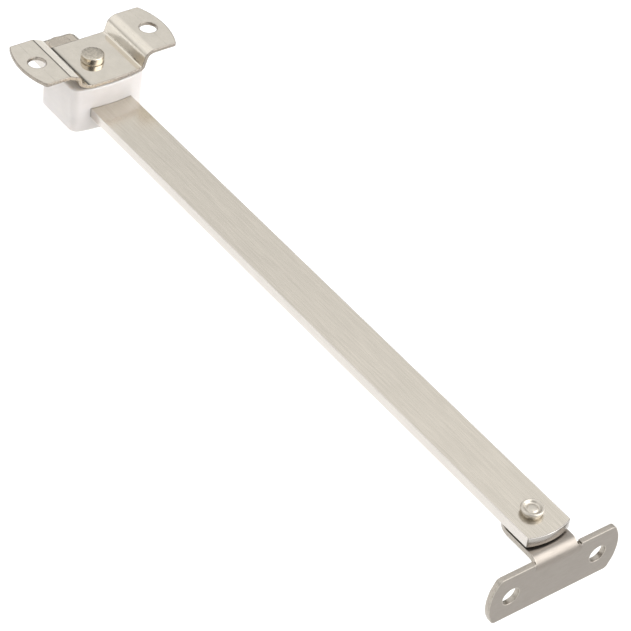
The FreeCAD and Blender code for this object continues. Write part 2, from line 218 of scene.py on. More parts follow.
def chain(*parts: Array) -> Array:
    """Join stretches of an outline that share their end points, dropping each repeated point."""
    return np.concatenate([part[:-1] for part in parts])


def mirror(part: Array) -> Array:
    """Run the other way along a stretch's mirror image across the middle line."""
    return part[::-1] * [1, -1]


def pair(first: object, second: object) -> Array:
    """Set two arrays, or an array and a number, side by side as places in a plane."""
    return np.stack(np.broadcast_arrays(first, second), axis=-1)


def lift(flat: Array, height: object) -> Array:
    """Give places in a plane a height: one number, or one for each place."""
    return np.concatenate([flat, np.broadcast_to(height, flat.shape[:-1])[..., None]], axis=-1)


def rounded(points: Array, radii: Sequence[float], steps: int = 6) -> Array:
    """Round the corners of an outline or a profile.

    Each corner becomes an arc that touches both its sides: the arc starts at radius over the
    tangent of half the corner's angle from the corner, and turns evenly to as far past it.

    Args:
        points: The corners, in order, an array of N by 2.
        radii: The radius at each corner, 0 to leave it sharp.
        steps: How many segments each arc has.

    Returns:
        The rounded outline, an array of M by 2.
    """
    corners = np.array(points, float)
    out: list[Array] = []
    for index, (corner, radius) in enumerate(zip(corners, radii)):
        if radius <= 0:
            out.append(corner[None])
            continue
        before = corners[index - 1] - corner
        after = corners[(index + 1) % len(corners)] - corner
        before /= np.linalg.norm(before)
        after /= np.linalg.norm(after)
        half = math.acos(float(np.clip(before @ after, -1, 1))) / 2
        bisector = (before + after) / np.linalg.norm(before + after)
        centre = corner + bisector * radius / math.sin(half)
        start = corner + before * radius / math.tan(half) - centre
        stop = corner + after * radius / math.tan(half) - centre
        turn = math.atan2(start[0] * stop[1] - start[1] * stop[0], float(start @ stop))
        angle = np.linspace(0, turn, steps + 1)[:, None]
        side = np.array([-start[1], start[0]])
        out.append(centre + np.cos(angle) * start + np.sin(angle) * side)
    return np.concatenate(out)


def outward(loop: Array) -> Array:
    """Give the way out of a counter-clockwise outline at each point.

    It is the sum of the two neighbouring sides' unit normals over one plus their dot product, so
    a step along it moves both sides out by the same distance.
    """
    side = np.roll(loop, -1, axis=0) - loop
    side /= np.linalg.norm(side, axis=1, keepdims=True)
    normal = np.stack([side[:, 1], -side[:, 0]], axis=1)
    before = np.roll(normal, 1, axis=0)
    share = 1 + np.sum(normal * before, axis=1, keepdims=True)
    return (normal + before) / np.maximum(share, 0.5)


def circle(centre: Sequence[float], radius: float, toward: Array) -> Array:
    """Find the points of a circle that face each of some other points.

    Args:
        centre: The circle's centre in the plane.
        radius: Its radius.
        toward: Points round it, an array of N by 2.

    Returns:
        One point of the circle for each of them.
    """
    way = toward - np.array(centre)
    return np.array(centre) + radius * way / np.linalg.norm(way, axis=1, keepdims=True)


def bow(place: Array, half: float, rise: float) -> Array:
    """Work out how far a shallow arc stands out from its chord.

    The arc's radius is half the chord squared plus the rise squared, over twice the rise, and its
    height at a place is the circle's height there less the circle's height at the chord's end.

    Args:
        place: Distances from the chord's middle.
        half: Half the chord.
        rise: The arc's height at its middle.

    Returns:
        The height at each place, 0 past the ends.
    """
    radius = (half * half + rise * rise) / (2 * rise)
    inside = np.minimum(np.abs(place), half)
    return np.sqrt(radius * radius - inside * inside) - (radius - rise)


def lathe(name: str, profile: Array, centre: Array, steps: int = 80) -> bpy.types.Object:
    """Turn a profile about an upright axis.

    A profile point at radius r and height z goes to r cos a, r sin a, z for every angle a.

    Args:
        name: The piece's name.
        profile: Radius and height of each point, from axis to axis, an array of N by 2.
        centre: A point on the axis; only its X and Y count.
        steps: How many points go round.

    Returns:
        The closed piece.
    """
    angle = np.linspace(0, 2 * math.pi, steps, endpoint=False)
    radius = profile[:, :1]
    rings = pair(centre[0] + radius * np.cos(angle), centre[1] + radius * np.sin(angle))
    skin = Skin()
    skin.add_grid(lift(rings, profile[:, 1:]), wrap=True)
    return skin.build(name)


def turned(name: str, box: Span, corners: Sequence[tuple[float, float, float]]) -> bpy.types.Object:
    """Turn a solid piece about its box's axis.

    Args:
        name: The piece's name.
        box: Its box.
        corners: Radius and height of each corner, from the top to the foot, and how far it is
            rounded, in millimetres.

    Returns:
        The closed piece.
    """
    rows = np.array(corners) * MM
    return lathe(name, rounded(rows[:, :2], rows[:, 2]), box.middle)


def washer(name: str, node: str, bore: float, edge: float) -> bpy.types.Object:
    """Make a flat ring in a node's place, its four edges rounded."""
    box = span(node)
    outer, low, high = box.size[0] / 2, box.low[2], box.high[2]
    corners = np.array([(bore, low), (outer, low), (outer, high), (bore, high)])
    profile = rounded(corners, [edge] * 4, steps=3)
    return lathe(name, np.concatenate([profile, profile[:1]]), box.middle)


# ---------------------------------------------------------------- sheet metal


@dataclass
class Sheet:
    """A sheet worked out flat, with holes and rolled edges, and then folded.

    Flat places are two coordinates, along and across, and a depth that is 0 on the face and minus
    the thickness on the back. The patches stop short of the outline by the inset: a narrow flat
    hold first, and then the quarter round of the edge.
    """

    thick: float
    edge: float
    hold: float = 0.12 * MM
    skin: Skin = field(default_factory=Skin)

    @property
    def inset(self) -> float:
        """How far the patches stop short of the outline."""
        return self.edge + self.hold

    def fold(self, flat: Array) -> Array:
        """Fold points of the flat sheet; a flat piece keeps along as X, across as Y, depth as Z."""
        return flat

    def face(self, flat: Array, closed: bool) -> None:
        """Add a patch of both faces of the sheet.

        Args:
            flat: The patch's places along and across, an array of R by N by 2.
            closed: True when each row is a closed ring.
        """
        for depth in (0.0, -self.thick):
            self.skin.add_grid(self.fold(lift(flat, depth)), wrap=closed)

    def holed(self, loop: Array, centre: Sequence[float], radius: float, rings: int = 10) -> None:
        """Add a patch round a hole, and the hole's rolled edge.

        Each ring lies a share of the way from the hole's circle to the outline.

        Args:
            loop: The patch's outline, a closed array of N by 2.
            centre: The hole's centre.
            radius: The hole's radius.
            rings: How many rings fill the patch.
        """
        inner = circle(centre, radius + self.inset, loop)
        share = np.linspace(0, 1, rings)[:, None, None]
        self.face(inner[None] * (1 - share) + loop[None] * share, closed=True)
        self.rim(inner if signed_area(inner) > 0 else inner[::-1], inward=True)

    def strip(self, rows: Array, across: Array) -> None:
        """Add a patch that crosses the sheet, with a row at each place along it."""
        self.face(pair(rows[:, None], across[None]), closed=False)

    def rim(self, loop: Array, inward: bool = False, steps: int = 5) -> None:
        """Add the rolled edge along an outline that runs counter-clockwise.

        At angle a of the quarter round a point stands hold plus edge times sin a out from the
        patches and edge times one minus cos a below the face; the back mirrors the face.

        Args:
            loop: The patches' outline.
            inward: True for the edge of a hole.
            steps: How many segments each quarter round has.
        """
        angle = np.linspace(0, math.pi / 2, steps + 1)
        out = np.concatenate([[0], self.hold + self.edge * np.sin(angle)])
        drop = np.concatenate([[0], self.edge * (1 - np.cos(angle))])
        out = np.concatenate([out, out[::-1]])
        drop = np.concatenate([drop, self.thick - drop[::-1]])
        way = outward(loop) * (-1 if inward else 1)
        flat = loop[None] + out[:, None, None] * way[None]
        self.skin.add_grid(self.fold(lift(flat, -drop[:, None])), wrap=True, finish=1)


@dataclass
class Slab(Sheet):
    """A flat piece with its face at a given height."""

    top: float = 0.0

    def fold(self, flat: Array) -> Array:
        """Lift the face to its height."""
        return flat + np.array([0.0, 0.0, self.top])

    def plain(self, name: str, outline: Array) -> bpy.types.Object:
        """Make a piece without holes.

        Args:
            name: The piece's name.
            outline: Its true outline, counter-clockwise.

        Returns:
            The closed piece.
        """
        loop = outline - outward(outline) * self.inset
        for depth in (0.0, -self.thick):
            self.skin.add(self.fold(lift(loop, depth)), [tuple(range(len(loop)))])
        self.rim(loop)
        return self.skin.build(name)


def box_outline(box: Span, corner: float) -> Array:
    """Outline a box from above, counter-clockwise, with rounded corners."""
    low, high = box.low, box.high
    corners = [(low[0], low[1]), (high[0], low[1]), (high[0], high[1]), (low[0], high[1])]
    return rounded(np.array(corners), [corner] * 4)


@dataclass
class BendPath:
    """The line that one half of the bent plate follows, from its middle out over its tab.

    The line is level, sinks into a shallow dish, turns sharply up at the crease, holds along the
    wall, eases over to a short slope and turns level again at the tab. Along each stretch the
    angle changes evenly with the distance; height and reach are running sums of its sine and
    cosine, and the wall's length is whatever brings the tab to the wanted rise.
    """

    middle: float
    rise: float
    dish_run: float
    dish_lean: float
    lean: float = math.radians(74.0)
    slope_lean: float = math.radians(23.0)
    crease_radius: float = 0.5 * MM
    shoulder_radius: float = 1.6 * MM
    slope_run: float = 2.8 * MM
    lip_radius: float = 2.2 * MM
    tab_run: float = 15 * MM
    samples: int = 9000

    def __post_init__(self) -> None:
        """Lay out the stretches and sum the line's reach and height."""
        lean, slope = self.lean, self.slope_lean
        angles = [0.0, 0.0, self.dish_lean, lean, lean, slope, slope, 0.0, 0.0]
        lengths = [self.middle - self.dish_run, self.dish_run,
                   (lean - self.dish_lean) * self.crease_radius, 0.0,
                   (lean - slope) * self.shoulder_radius, self.slope_run,
                   slope * self.lip_radius, self.tab_run]
        lengths[3] = (self.rise - self.climb(lengths, angles)) / math.sin(lean)
        self.knots = np.concatenate([[0.0], np.cumsum(lengths)])
        self.path = np.linspace(0, self.knots[-1], self.samples)
        self.angle = np.interp(self.path, self.knots, angles)
        step = np.diff(self.path)
        middle = (self.angle[1:] + self.angle[:-1]) / 2
        self.reach = np.concatenate([[0], np.cumsum(np.cos(middle) * step)])
        self.height = np.concatenate([[0], np.cumsum(np.sin(middle) * step)])
        self.height -= self.height[-1]

    @staticmethod
    def climb(lengths: Sequence[float], angles: Sequence[float]) -> float:
        """Sum the height gained along the stretches: each length times its mean sine."""
        share = np.linspace(0, 1, 41)
        turns = [np.sin(low + (high - low) * share).mean() for low, high in zip(angles[:-1], angles[1:])]
        return float(np.dot(lengths, turns))

    def at(self, reach: float) -> float:
        """Find how far along the line a horizontal reach lies."""
        return float(np.interp(reach, self.reach, self.path))

    def rows(self) -> Array:
        """Space the bend's rows, closer together where it turns: so many for each stretch."""
        counts = ((2, 9), (3, 4), (4, 12), (5, 5), (6, 8))
        stretches = [np.linspace(*self.knots[i:i + 2], count) for i, count in counts]
        return np.unique(np.concatenate(stretches).round(9))


@dataclass
class FramePlate(Sheet):
    """The bent plate: a low middle, two steep bends and two raised tabs."""

    thick: float = 1.1 * MM
    edge: float = 0.16 * MM
    tab_inset: float = 8.88 * MM
    tab_margin: float = 2.95 * MM
    tab_bow: float = 2.45 * MM
    tab_corner: float = 0.9 * MM
    front_bow: float = 0.7 * MM
    pin_hole: float = 2.02 * MM
    columns: int = 25

    def __post_init__(self) -> None:
        """Lay out both halves from the plate's box and its screw holes."""
        box, holes = span("frame_plate"), mount("frame_screw_holes")["dims"]
        self.half = -box.low[0] - self.inset
        self.pitch = holes["spacing_y_mm"] * MM / 2
        self.hole = holes["hole_r_mm"] * MM
        middle = self.pitch - self.tab_inset
        rise = box.size[2] - self.thick
        self.right = BendPath(middle, rise, dish_run=0.7 * MM, dish_lean=math.radians(7.0),
                              shoulder_radius=3.0 * MM, slope_run=0.2 * MM, lip_radius=3.6 * MM)
        self.left = BendPath(middle, rise, dish_run=3.6 * MM, dish_lean=math.radians(44.0))

    def fold(self, flat: Array) -> Array:
        """Bend the flat sheet: each half follows its own line, and depth goes square to it."""
        along, across, depth = flat[..., 0], flat[..., 1], flat[..., 2]
        far = np.abs(along)
        halves = []
        for half in (self.left, self.right):
            angle, reach, height = (np.interp(far, half.path, curve)
                                    for curve in (half.angle, half.reach, half.height))
            halves.append((reach - depth * np.sin(angle), height + depth * np.cos(angle)))
        (left_y, left_z), (right_y, right_z) = halves
        low = along < 0
        return lift(pair(across, np.where(low, -left_y, right_y)), np.where(low, left_z, right_z))

    def tab_edge(self, path: BendPath) -> Array:
        """Run from the back of the crest round the tab's bowed end to the front of the crest."""
        half, start = self.half, path.knots[7]
        across = np.linspace(-half, half, 41)
        end = path.at(self.pitch + self.tab_margin)
        arc = pair(end + bow(across, half + self.inset, self.tab_bow) - self.inset, across)
        corner = self.tab_corner - self.inset
        ends = np.concatenate([arc[:1], arc[3:-3], arc[-1:]])
        radii = [corner] + [0.0] * (len(ends) - 2) + [corner]
        back = line((start, -half), (arc[0][0] - 2 * MM, -half), 10)
        front = mirror(back)
        end = rounded(np.concatenate([back[-1:], ends, front[:1]]), [0.0] + radii + [0.0])
        return np.concatenate([back[:-1], end, front[1:]])

    def build(self) -> bpy.types.Object:
        """Gather the middle, the bends, the tabs and the rim into one closed sheet."""
        half, crease = self.half, self.right.knots[2]
        across = np.linspace(-half, half, self.columns)
        edges = []
        for sign, path in ((1.0, self.right), (-1.0, self.left)):
            tab = self.tab_edge(path)
            crest = path.knots[7]
            loop = chain(line((crest, half), (crest, -half), self.columns), tab) * [sign, 1.0]
            self.holed(loop, (sign * path.at(self.pitch), 0.0), self.hole)
            rows = path.rows()
            self.strip(sign * rows, across)
            bend = pair(rows, -half)
            edges.append((bend, tab, mirror(bend)))
        place = np.linspace(crease, -crease, 61)
        front = pair(place, half + bow(place, crease, self.front_bow))
        back = line((-crease, -half), (crease, -half), 61)
        right = line((crease, -half), (crease, half), self.columns)
        self.holed(chain(right, front, -right, back), (0.0, 0.0), self.pin_hole, rings=40)
        self.rim(chain(*edges[0], front, *(-side for side in edges[1]), back))
        return self.skin.build("frame_plate_sheet")


@dataclass
class SashBracket(Sheet):
    """The T-shaped bracket: a tongue, a bend and a wide flange."""

    thick: float = 1.6 * MM
    edge: float = 0.14 * MM
    bend_radius: float = 3.5 * MM
    tongue_half: float = 6.95 * MM
    relief_width: float = 0.55 * MM
    relief_depth: float = 0.6 * MM
    flange_height: float = 15.1 * MM
    flange_bow: float = 2.25 * MM
    corner: float = 1.6 * MM
    rivet_hole: float = 2.05 * MM
    columns: int = 21

    def __post_init__(self) -> None:
        """Work out the bracket's levels from its box, its mount and its hinge."""
        box, holes = span("sash_bracket"), mount("sash_screw_holes")
        self.face_x, self.top = box.high[0], box.high[2]
        self.bend_end = self.top - self.bend_radius
        self.bend_run = self.bend_radius * math.pi / 2
        self.bottom = self.bend_end - box.low[2] - self.inset
        self.shoulder = self.bottom + 2 * self.inset - self.flange_height
        self.relief = self.shoulder + self.relief_depth
        self.chord = box.high[1] - self.flange_bow
        self.hole = holes["dims"]["hole_r_mm"] * MM
        self.pitch = holes["dims"]["spacing_x_mm"] * MM / 2
        self.hole_level = self.bend_end - holes["pos_m"][2]
        pivot = joint_place("bracket_swivel")
        self.rivet_level = -self.bend_run - (self.face_x - self.bend_radius - pivot[0])

    def fold(self, flat: Array) -> Array:
        """Bend the flat sheet.

        Below the bend's end a point hangs straight down. Above it the neck follows a quarter
        circle and then runs level, while the wings beside it go straight on up; between the two,
        over the width of the relief, a smooth step goes from one to the other.
        """
        along, across, depth = flat[..., 0], flat[..., 1], flat[..., 2]
        angle = np.clip(-along, 0, self.bend_run) / self.bend_radius
        level = np.clip(-along - self.bend_run, 0, None)
        radius = self.bend_radius + depth
        neck_x = self.face_x - self.bend_radius + radius * np.cos(angle) - level
        neck_z = self.bend_end + radius * np.sin(angle) - np.clip(along, 0, None)
        wing_x, wing_z = self.face_x + depth, self.bend_end - along
        share = np.clip((np.abs(across) - self.tongue_half) / self.relief_width, 0, 1)
        share = share * share * (3 - 2 * share)
        return lift(pair(neck_x + (wing_x - neck_x) * share, across), neck_z + (wing_z - neck_z) * share)

    def wing(self) -> Array:
        """Outline one side of the flange, from the middle of its lower edge up to the neck."""
        top, low, notch = self.shoulder, self.bottom, self.tongue_half + self.relief_width + self.inset
        level = np.linspace(low, top, 31)
        middle, reach = (top + low) / 2, (low - top) / 2 + self.inset
        arc = pair(level, self.chord - self.inset + bow(level - middle, reach, self.flange_bow))
        trim = self.corner - self.inset
        lower = rounded(np.array([(low, 0.0), arc[0], arc[6]]), [0.0, trim, 0.0], steps=8)
        lower = np.concatenate([line((low, 0.0), lower[1], 16)[:-1], lower[1:]])
        upper = rounded(np.array([arc[-7], arc[-1], (top, notch)]), [0.0, trim, 0.0], steps=8)
        upper = np.concatenate([upper[:-2], line(upper[-2], (top, notch), 8)])
        half = self.tongue_half - self.inset
        inner = chain(line((top, notch), (self.relief, notch), 5),
                      line((self.relief, notch), (self.relief, half), 8))
        return np.concatenate([lower[:-1], arc[6:-7], upper[:-1], inner, [(self.relief, half)]])

    def build(self) -> bpy.types.Object:
        """Gather the tongue, the bend, both halves of the flange and the rim."""
        half, run = self.tongue_half - self.inset, self.bend_run
        angle = np.linspace(math.pi / 2, math.pi * 3 / 2, 41)
        rear = pair(self.rivet_level + half * np.cos(angle), half * np.sin(angle))
        near = line((-run, -half), (-run, half), self.columns)
        side = line((-run, half), (self.rivet_level, half), 8)
        self.holed(chain(near, side, rear, mirror(side)), (self.rivet_level, 0.0), self.rivet_hole)
        rows = np.linspace(-run, self.relief, 30)
        self.strip(rows, np.linspace(-half, half, self.columns))
        wing = self.wing()
        fold_line = line((self.relief, half), (self.relief, 0.0), self.columns // 2 + 1)
        centre = line((self.relief, 0.0), (self.bottom, 0.0), 17)
        for sign in (1.0, -1.0):
            patch = chain(centre, wing, fold_line) * [1.0, sign]
            self.holed(patch, (self.hole_level, sign * self.pitch), self.hole, rings=16)
        neck = pair(rows[::-1], half)
        self.rim(chain(wing, neck, side, rear, *map(mirror, (side, neck, wing))))
        return self.skin.build("sash_bracket_sheet")


@dataclass
class ArmBar(Slab):
    """The flat bar, square at the tail and gently bowed at the bracket's end."""

    thick: float = 3.0 * MM
    edge: float = 0.13 * MM
    end_bow: float = 1.4 * MM
    end_corner: float = 0.45 * MM
    rivet_hole: float = 2.03 * MM
    columns: int = 15

    def __post_init__(self) -> None:
        """Read the bar's box and the places of its two rivets."""
        self.box = span("arm_bar")
        self.top = self.box.high[2]
        self.stop_rivet = span("tail_stop_rivet").middle[0]
        self.pivot = joint_place("bracket_swivel")[0]

    def build(self) -> bpy.types.Object:
        """Gather the two holed ends, the straight run and the rim."""
        half = self.box.high[1] - self.inset
        tail, tip = self.box.low[0] + self.inset, self.box.high[0] - self.end_bow - self.inset
        near, far = self.stop_rivet + 5 * MM, self.pivot - 7 * MM
        across = np.linspace(-half, half, self.columns)
        side = line((near, half), (tail, half), 12)
        tail_side = np.concatenate([chain(side, line((tail, half), (tail, -half), 21)), mirror(side)])
        self.holed(chain(tail_side, line((near, -half), (near, half), self.columns)),
                   (self.stop_rivet, 0.0), self.rivet_hole)
        arc = pair(tip + bow(across, self.box.high[1], self.end_bow), across)
        corner = self.end_corner - self.inset
        ends = np.concatenate([[(tip - 4 * MM, -half)], arc, [(tip - 4 * MM, half)]])
        ends = rounded(ends, [0.0, corner] + [0.0] * (len(arc) - 2) + [corner, 0.0], steps=3)
        side = line((far, -half), ends[0], 6)
        tip_side = np.concatenate([side[:-1], ends, mirror(side)[1:]])
        self.holed(chain(tip_side, line((far, half), (far, -half), self.columns)),
                   (self.pivot, 0.0), self.rivet_hole)
        rows = np.linspace(near, far, 60)
        self.strip(rows, across)
        back = pair(rows, -half)
        self.rim(chain(back, tip_side, mirror(back), tail_side))
        return self.skin.build("arm_bar_steel")


@dataclass
class TailStop(Slab):
    """The stop on the arm's tail, rounded at its back corners."""

    thick: float = 3.05 * MM
    edge: float = 1.3 * MM
    corner: float = 2.4 * MM
    rivet_hole: float = 2.03 * MM

    def build(self) -> bpy.types.Object:
        """Make the stop round its rivet's hole."""
        box = span("tail_stop")
        self.top = box.high[2]
        low, high = box.low + self.inset, box.high - self.inset
        corner = self.corner - self.inset
        back = rounded(np.array([high[:2], (low[0], high[1]), low[:2], (high[0], low[1])]),
                       [0.0, corner, corner, 0.0], steps=8)
        side = line(back[0], back[1], 6)
        loop = chain(line(back[-1], back[0], 15), side, back[1:11], line(back[9], back[10], 10)[1:],
                     back[10:], mirror(side)[1:])
        self.holed(loop, span("tail_stop_rivet").middle[:2], self.rivet_hole)
        self.rim(loop)
        return self.skin.build("tail_stop_steel")


# ---------------------------------------------------------------- the moulded block


@dataclass
class BlockHousing:
    """The nylon block: bowed front, soft edges, a slot right through and a cavity from below."""

    back: float = 8.3 * MM
    front: float = 9.9 * MM
    front_bow: float = 1.5 * MM
    corner: float = 2.6 * MM
    edge: float = 0.55 * MM
    slot_edge: float = 0.06 * MM
    slot_half: float = 7.05 * MM
    slot_gap: float = 0.05 * MM
    cavity_half_x: float = 4.95 * MM
    cavity_half_y: float = 8.5 * MM
    roof: float = 1.5 * MM
    bore: float = 2.2 * MM
    lip: float = 0.2 * MM
    flat_rim: float = 0.3 * MM
    window: int = 31
    fan: int = 9
    skin: Skin = field(default_factory=Skin)

    def __post_init__(self) -> None:
        """Read the block's box and the arm's levels, and outline the block and its cavity."""
        self.box, self.base = span("block_housing"), span("base_plate")
        arm = span("arm_bar")
        self.slot_low, self.slot_high = arm.low[2] - self.slot_gap, arm.high[2] + self.slot_gap
        self.half = self.box.high[1]
        wide = self.slot_half + self.slot_edge
        across = np.linspace(-wide, wide, self.window)
        front = pair(self.front + bow(across, self.half, self.front_bow), across)
        sides = np.array([(self.front, self.half), (-self.back, self.half)])
        points = np.concatenate([front, sides, pair(-self.back, -across), mirror(sides)])
        radii = ([0.0] * self.window + [self.corner] * 2) * 2
        self.outline = rounded(points, radii, steps=self.fan - 1)
        self.inner = self.box_loop(self.cavity_half_x, self.cavity_half_y, self.slot_half)

    def box_loop(self, half_x: float, half_y: float, slot: float) -> Array:
        """Outline a plain box with a point for each point of the block's outline."""
        across = np.linspace(-slot, slot, self.window)
        front = pair(half_x, across)
        side = line((half_x, half_y), (-half_x, half_y), 2 * self.fan)
        return np.concatenate([front, side, -front, -side])

    def rings(self, *steps: tuple[Array, float]) -> None:
        """Join outlines, each lifted to its own height."""
        self.skin.add_grid(np.stack([lift(loop, height) for loop, height in steps]), wrap=True)

    def wall(self, loop: Array, heights: Sequence[float], first: int) -> None:
        """Add an upright wall, left open where the slot crosses it.

        Args:
            loop: The wall's outline.
            heights: The wall's levels, from the top down.
            first: Which level is the slot's upper edge; the next one is its lower edge.
        """
        rings = np.stack([lift(loop, height) for height in heights])
        count = len(loop)
        faces = grid_faces(len(heights), count, wrap=True)
        opposite = self.window + 2 * self.fan
        gaps = set(range(self.window - 1)) | set(range(opposite, opposite + self.window - 1))
        kept = [f for i, f in enumerate(faces) if not (i // count == first and i % count in gaps)]
        self.skin.add(rings, kept)

    def tunnel(self, start: int) -> None:
        """Line the slot through one wall, with a rounded edge outside.

        At angle a of the rounding the opening is the slot's size plus the edge's radius times one
        minus sin a, and it lies the radius times one minus cos a inside the wall's face.

        Args:
            start: Where the wall's stretch starts in the outline.
        """
        outer = self.outline[start:start + self.window]
        inner = self.inner[start:start + self.window]
        sign = 1.0 if outer[0][0] > 0 else -1.0
        edge = self.slot_edge

        def ring(share_in: float, depth: float, at_cavity: bool = False) -> Array:
            """Outline the opening at one step of the rounding."""
            across = inner[:, 1] + (outer[:, 1] - inner[:, 1]) * share_in
            flat = pair(inner[:, 0] if at_cavity else outer[:, 0] - sign * depth, across)
            upper = lift(flat, self.slot_high + edge * share_in)
            return np.concatenate([upper, lift(flat, self.slot_low - edge * share_in)[::-1]])

        angles = np.linspace(0, math.pi / 2, 5)
        rings = [ring(1 - math.sin(a), edge * (1 - math.cos(a))) for a in angles]
        self.skin.add_grid(np.stack(rings + [ring(0.0, 0.0, at_cavity=True)]), wrap=True)

    def build(self) -> bpy.types.Object:
        """Gather the top, the walls, the underside, the cavity and the slot's lining."""
        top, under, ledge = self.box.high[2], self.box.low[2], self.base.high[2]
        ceiling, chamfer = top - self.roof, top - self.lip
        angle = np.linspace(0, math.pi / 2, 6)
        way = outward(self.outline)
        inset = self.edge * (1 - np.sin(angle))
        drop = self.edge * (1 - np.cos(angle))
        held = self.outline - way * (self.edge + self.flat_rim)
        edges = [self.outline - way * i for i in inset]
        bore, lip = (circle((0.0, 0.0), radius, self.outline)
                     for radius in (self.bore, self.bore + self.lip))
        self.rings((bore, chamfer), (lip, top), ((lip + held) / 2, top), (held, top),
                   *zip(edges, top - drop))
        self.wall(self.outline, [top - self.edge, self.slot_high + self.slot_edge,
                                 self.slot_low - self.slot_edge, under + self.edge], 1)
        recess = self.box_loop(*(self.base.high[:2] + self.slot_gap), self.slot_half)
        self.rings(*zip(edges[::-1], under + drop[::-1]), (held, under), (recess, under),
                   (recess, ledge), (self.inner, ledge))
        self.wall(self.inner, [ceiling, self.slot_high, self.slot_low, ledge], 1)
        self.rings((self.inner, ceiling), (bore, ceiling), (bore, chamfer))
        for start in (0, self.window + 2 * self.fan):
            self.tunnel(start)
        return self.skin.build("block_housing_moulding")


# ---------------------------------------------------------------- turned pieces


@dataclass
class PivotPin:
    """The headed pin that the block turns on, in millimetres."""

    edge: float = 0.3
    shank: float = 2.0
    tail: float = 3.2
    saddle_step: float = 1.25

    def build(self) -> bpy.types.Object:
        """Turn the head, its narrow shoulder, the shank and the spread tail."""
        box, plate, saddle = span("pivot_pin"), span("frame_plate"), span("pivot_saddle")
        seat, top, under = (plate.low[2] + FramePlate.thick) / MM, box.high[2] / MM, box.low[2] / MM
        head, web = box.high[0] / MM, saddle.high[2] / MM - self.saddle_step
        return turned("pivot_pin_turned", box, (
            (0, top, 0), (head * 0.55, top - 0.02, 0), (head - 0.62, top - 0.09, 0),
            (head - 0.1, top - 0.26, self.edge), (head, seat + 0.35, 0.15), (head - 0.16, seat + 0.1, 0),
            (head - 0.16, seat, 0), (self.shank, seat, 0), (self.shank, web, 0),
            (self.tail, web, 0.15), (self.tail, under, 0.15), (0, under, 0)))


@dataclass
class BracketRivet:
    """The rivet at the arm's end, in millimetres: a rolled rim round a dimple, a flat head below."""

    neck: float = 2.6
    shank: float = 2.0
    rim: float = 2.95
    dimple: float = 0.6
    gap: float = 0.05

    def build(self) -> bpy.types.Object:
        """Turn both heads and the shank between them."""
        box, arm, tongue = span("bracket_rivet"), span("arm_bar"), span("sash_bracket")
        seat, top, under = arm.high[2] / MM, box.high[2] / MM, box.low[2] / MM
        head, foot = box.size[0] / 2 / MM, (tongue.high[2] - SashBracket.thick) / MM - self.gap
        return turned("bracket_rivet_turned", box, (
            (0, top - 0.34, 0), (0.75, top - 0.34, 0.6), (1.25, top - 0.42, 0.4),
            (1.6, top - self.dimple - 0.1, 0.2), (2.0, top - self.dimple, 0.35), (2.5, top - 0.02, 0.5),
            (self.rim, top - 0.1, 0.4), (head, top - 0.5, 0.12), (self.rim, seat + 0.6, 0.6),
            (self.neck, seat + 0.25, 0), (self.neck, seat, 0), (self.shank, seat, 0), (self.shank, foot, 0),
            (head, foot, 0.1), (head, under, 0.3), (0, under, 0)))


@dataclass
class TailStopRivet:
    """The low-headed rivet that holds the stop to the arm, in millimetres."""

    edge: float = 0.3
    shank: float = 2.0
    flat: float = 0.6

    def build(self) -> bpy.types.Object:
        """Turn both low heads and the shank between them."""
        box, arm, stop = span("tail_stop_rivet"), span("arm_bar"), span("tail_stop")
        seat, foot, top, under = (z / MM for z in (stop.high[2], arm.low[2], box.high[2], box.low[2]))
        head = box.size[0] / 2 / MM
        return turned("tail_stop_rivet_turned", box, (
            (0, top, 0), (head - self.flat, top, 0), (head, top, self.edge), (head, seat, 0),
            (self.shank, seat, 0), (self.shank, foot, 0), (head, foot, 0), (head, under, self.edge),
            (head - self.flat, under, 0), (0, under, 0)))


# ---------------------------------------------------------------- finishes


class Grain(Enum):
    """The way a finish's scratches run."""

    ALONG_X = (1.0, 0.0, 0.0)
    ALONG_Y = (0.0, 1.0, 0.0)
    NONE = (0.0, 0.0, 0.0)


def shade(colour: Triple, factor: float) -> Triple:
    """Scale a colour, with no part above 1."""
    return tuple(min(1.0, part * factor) for part in colour)


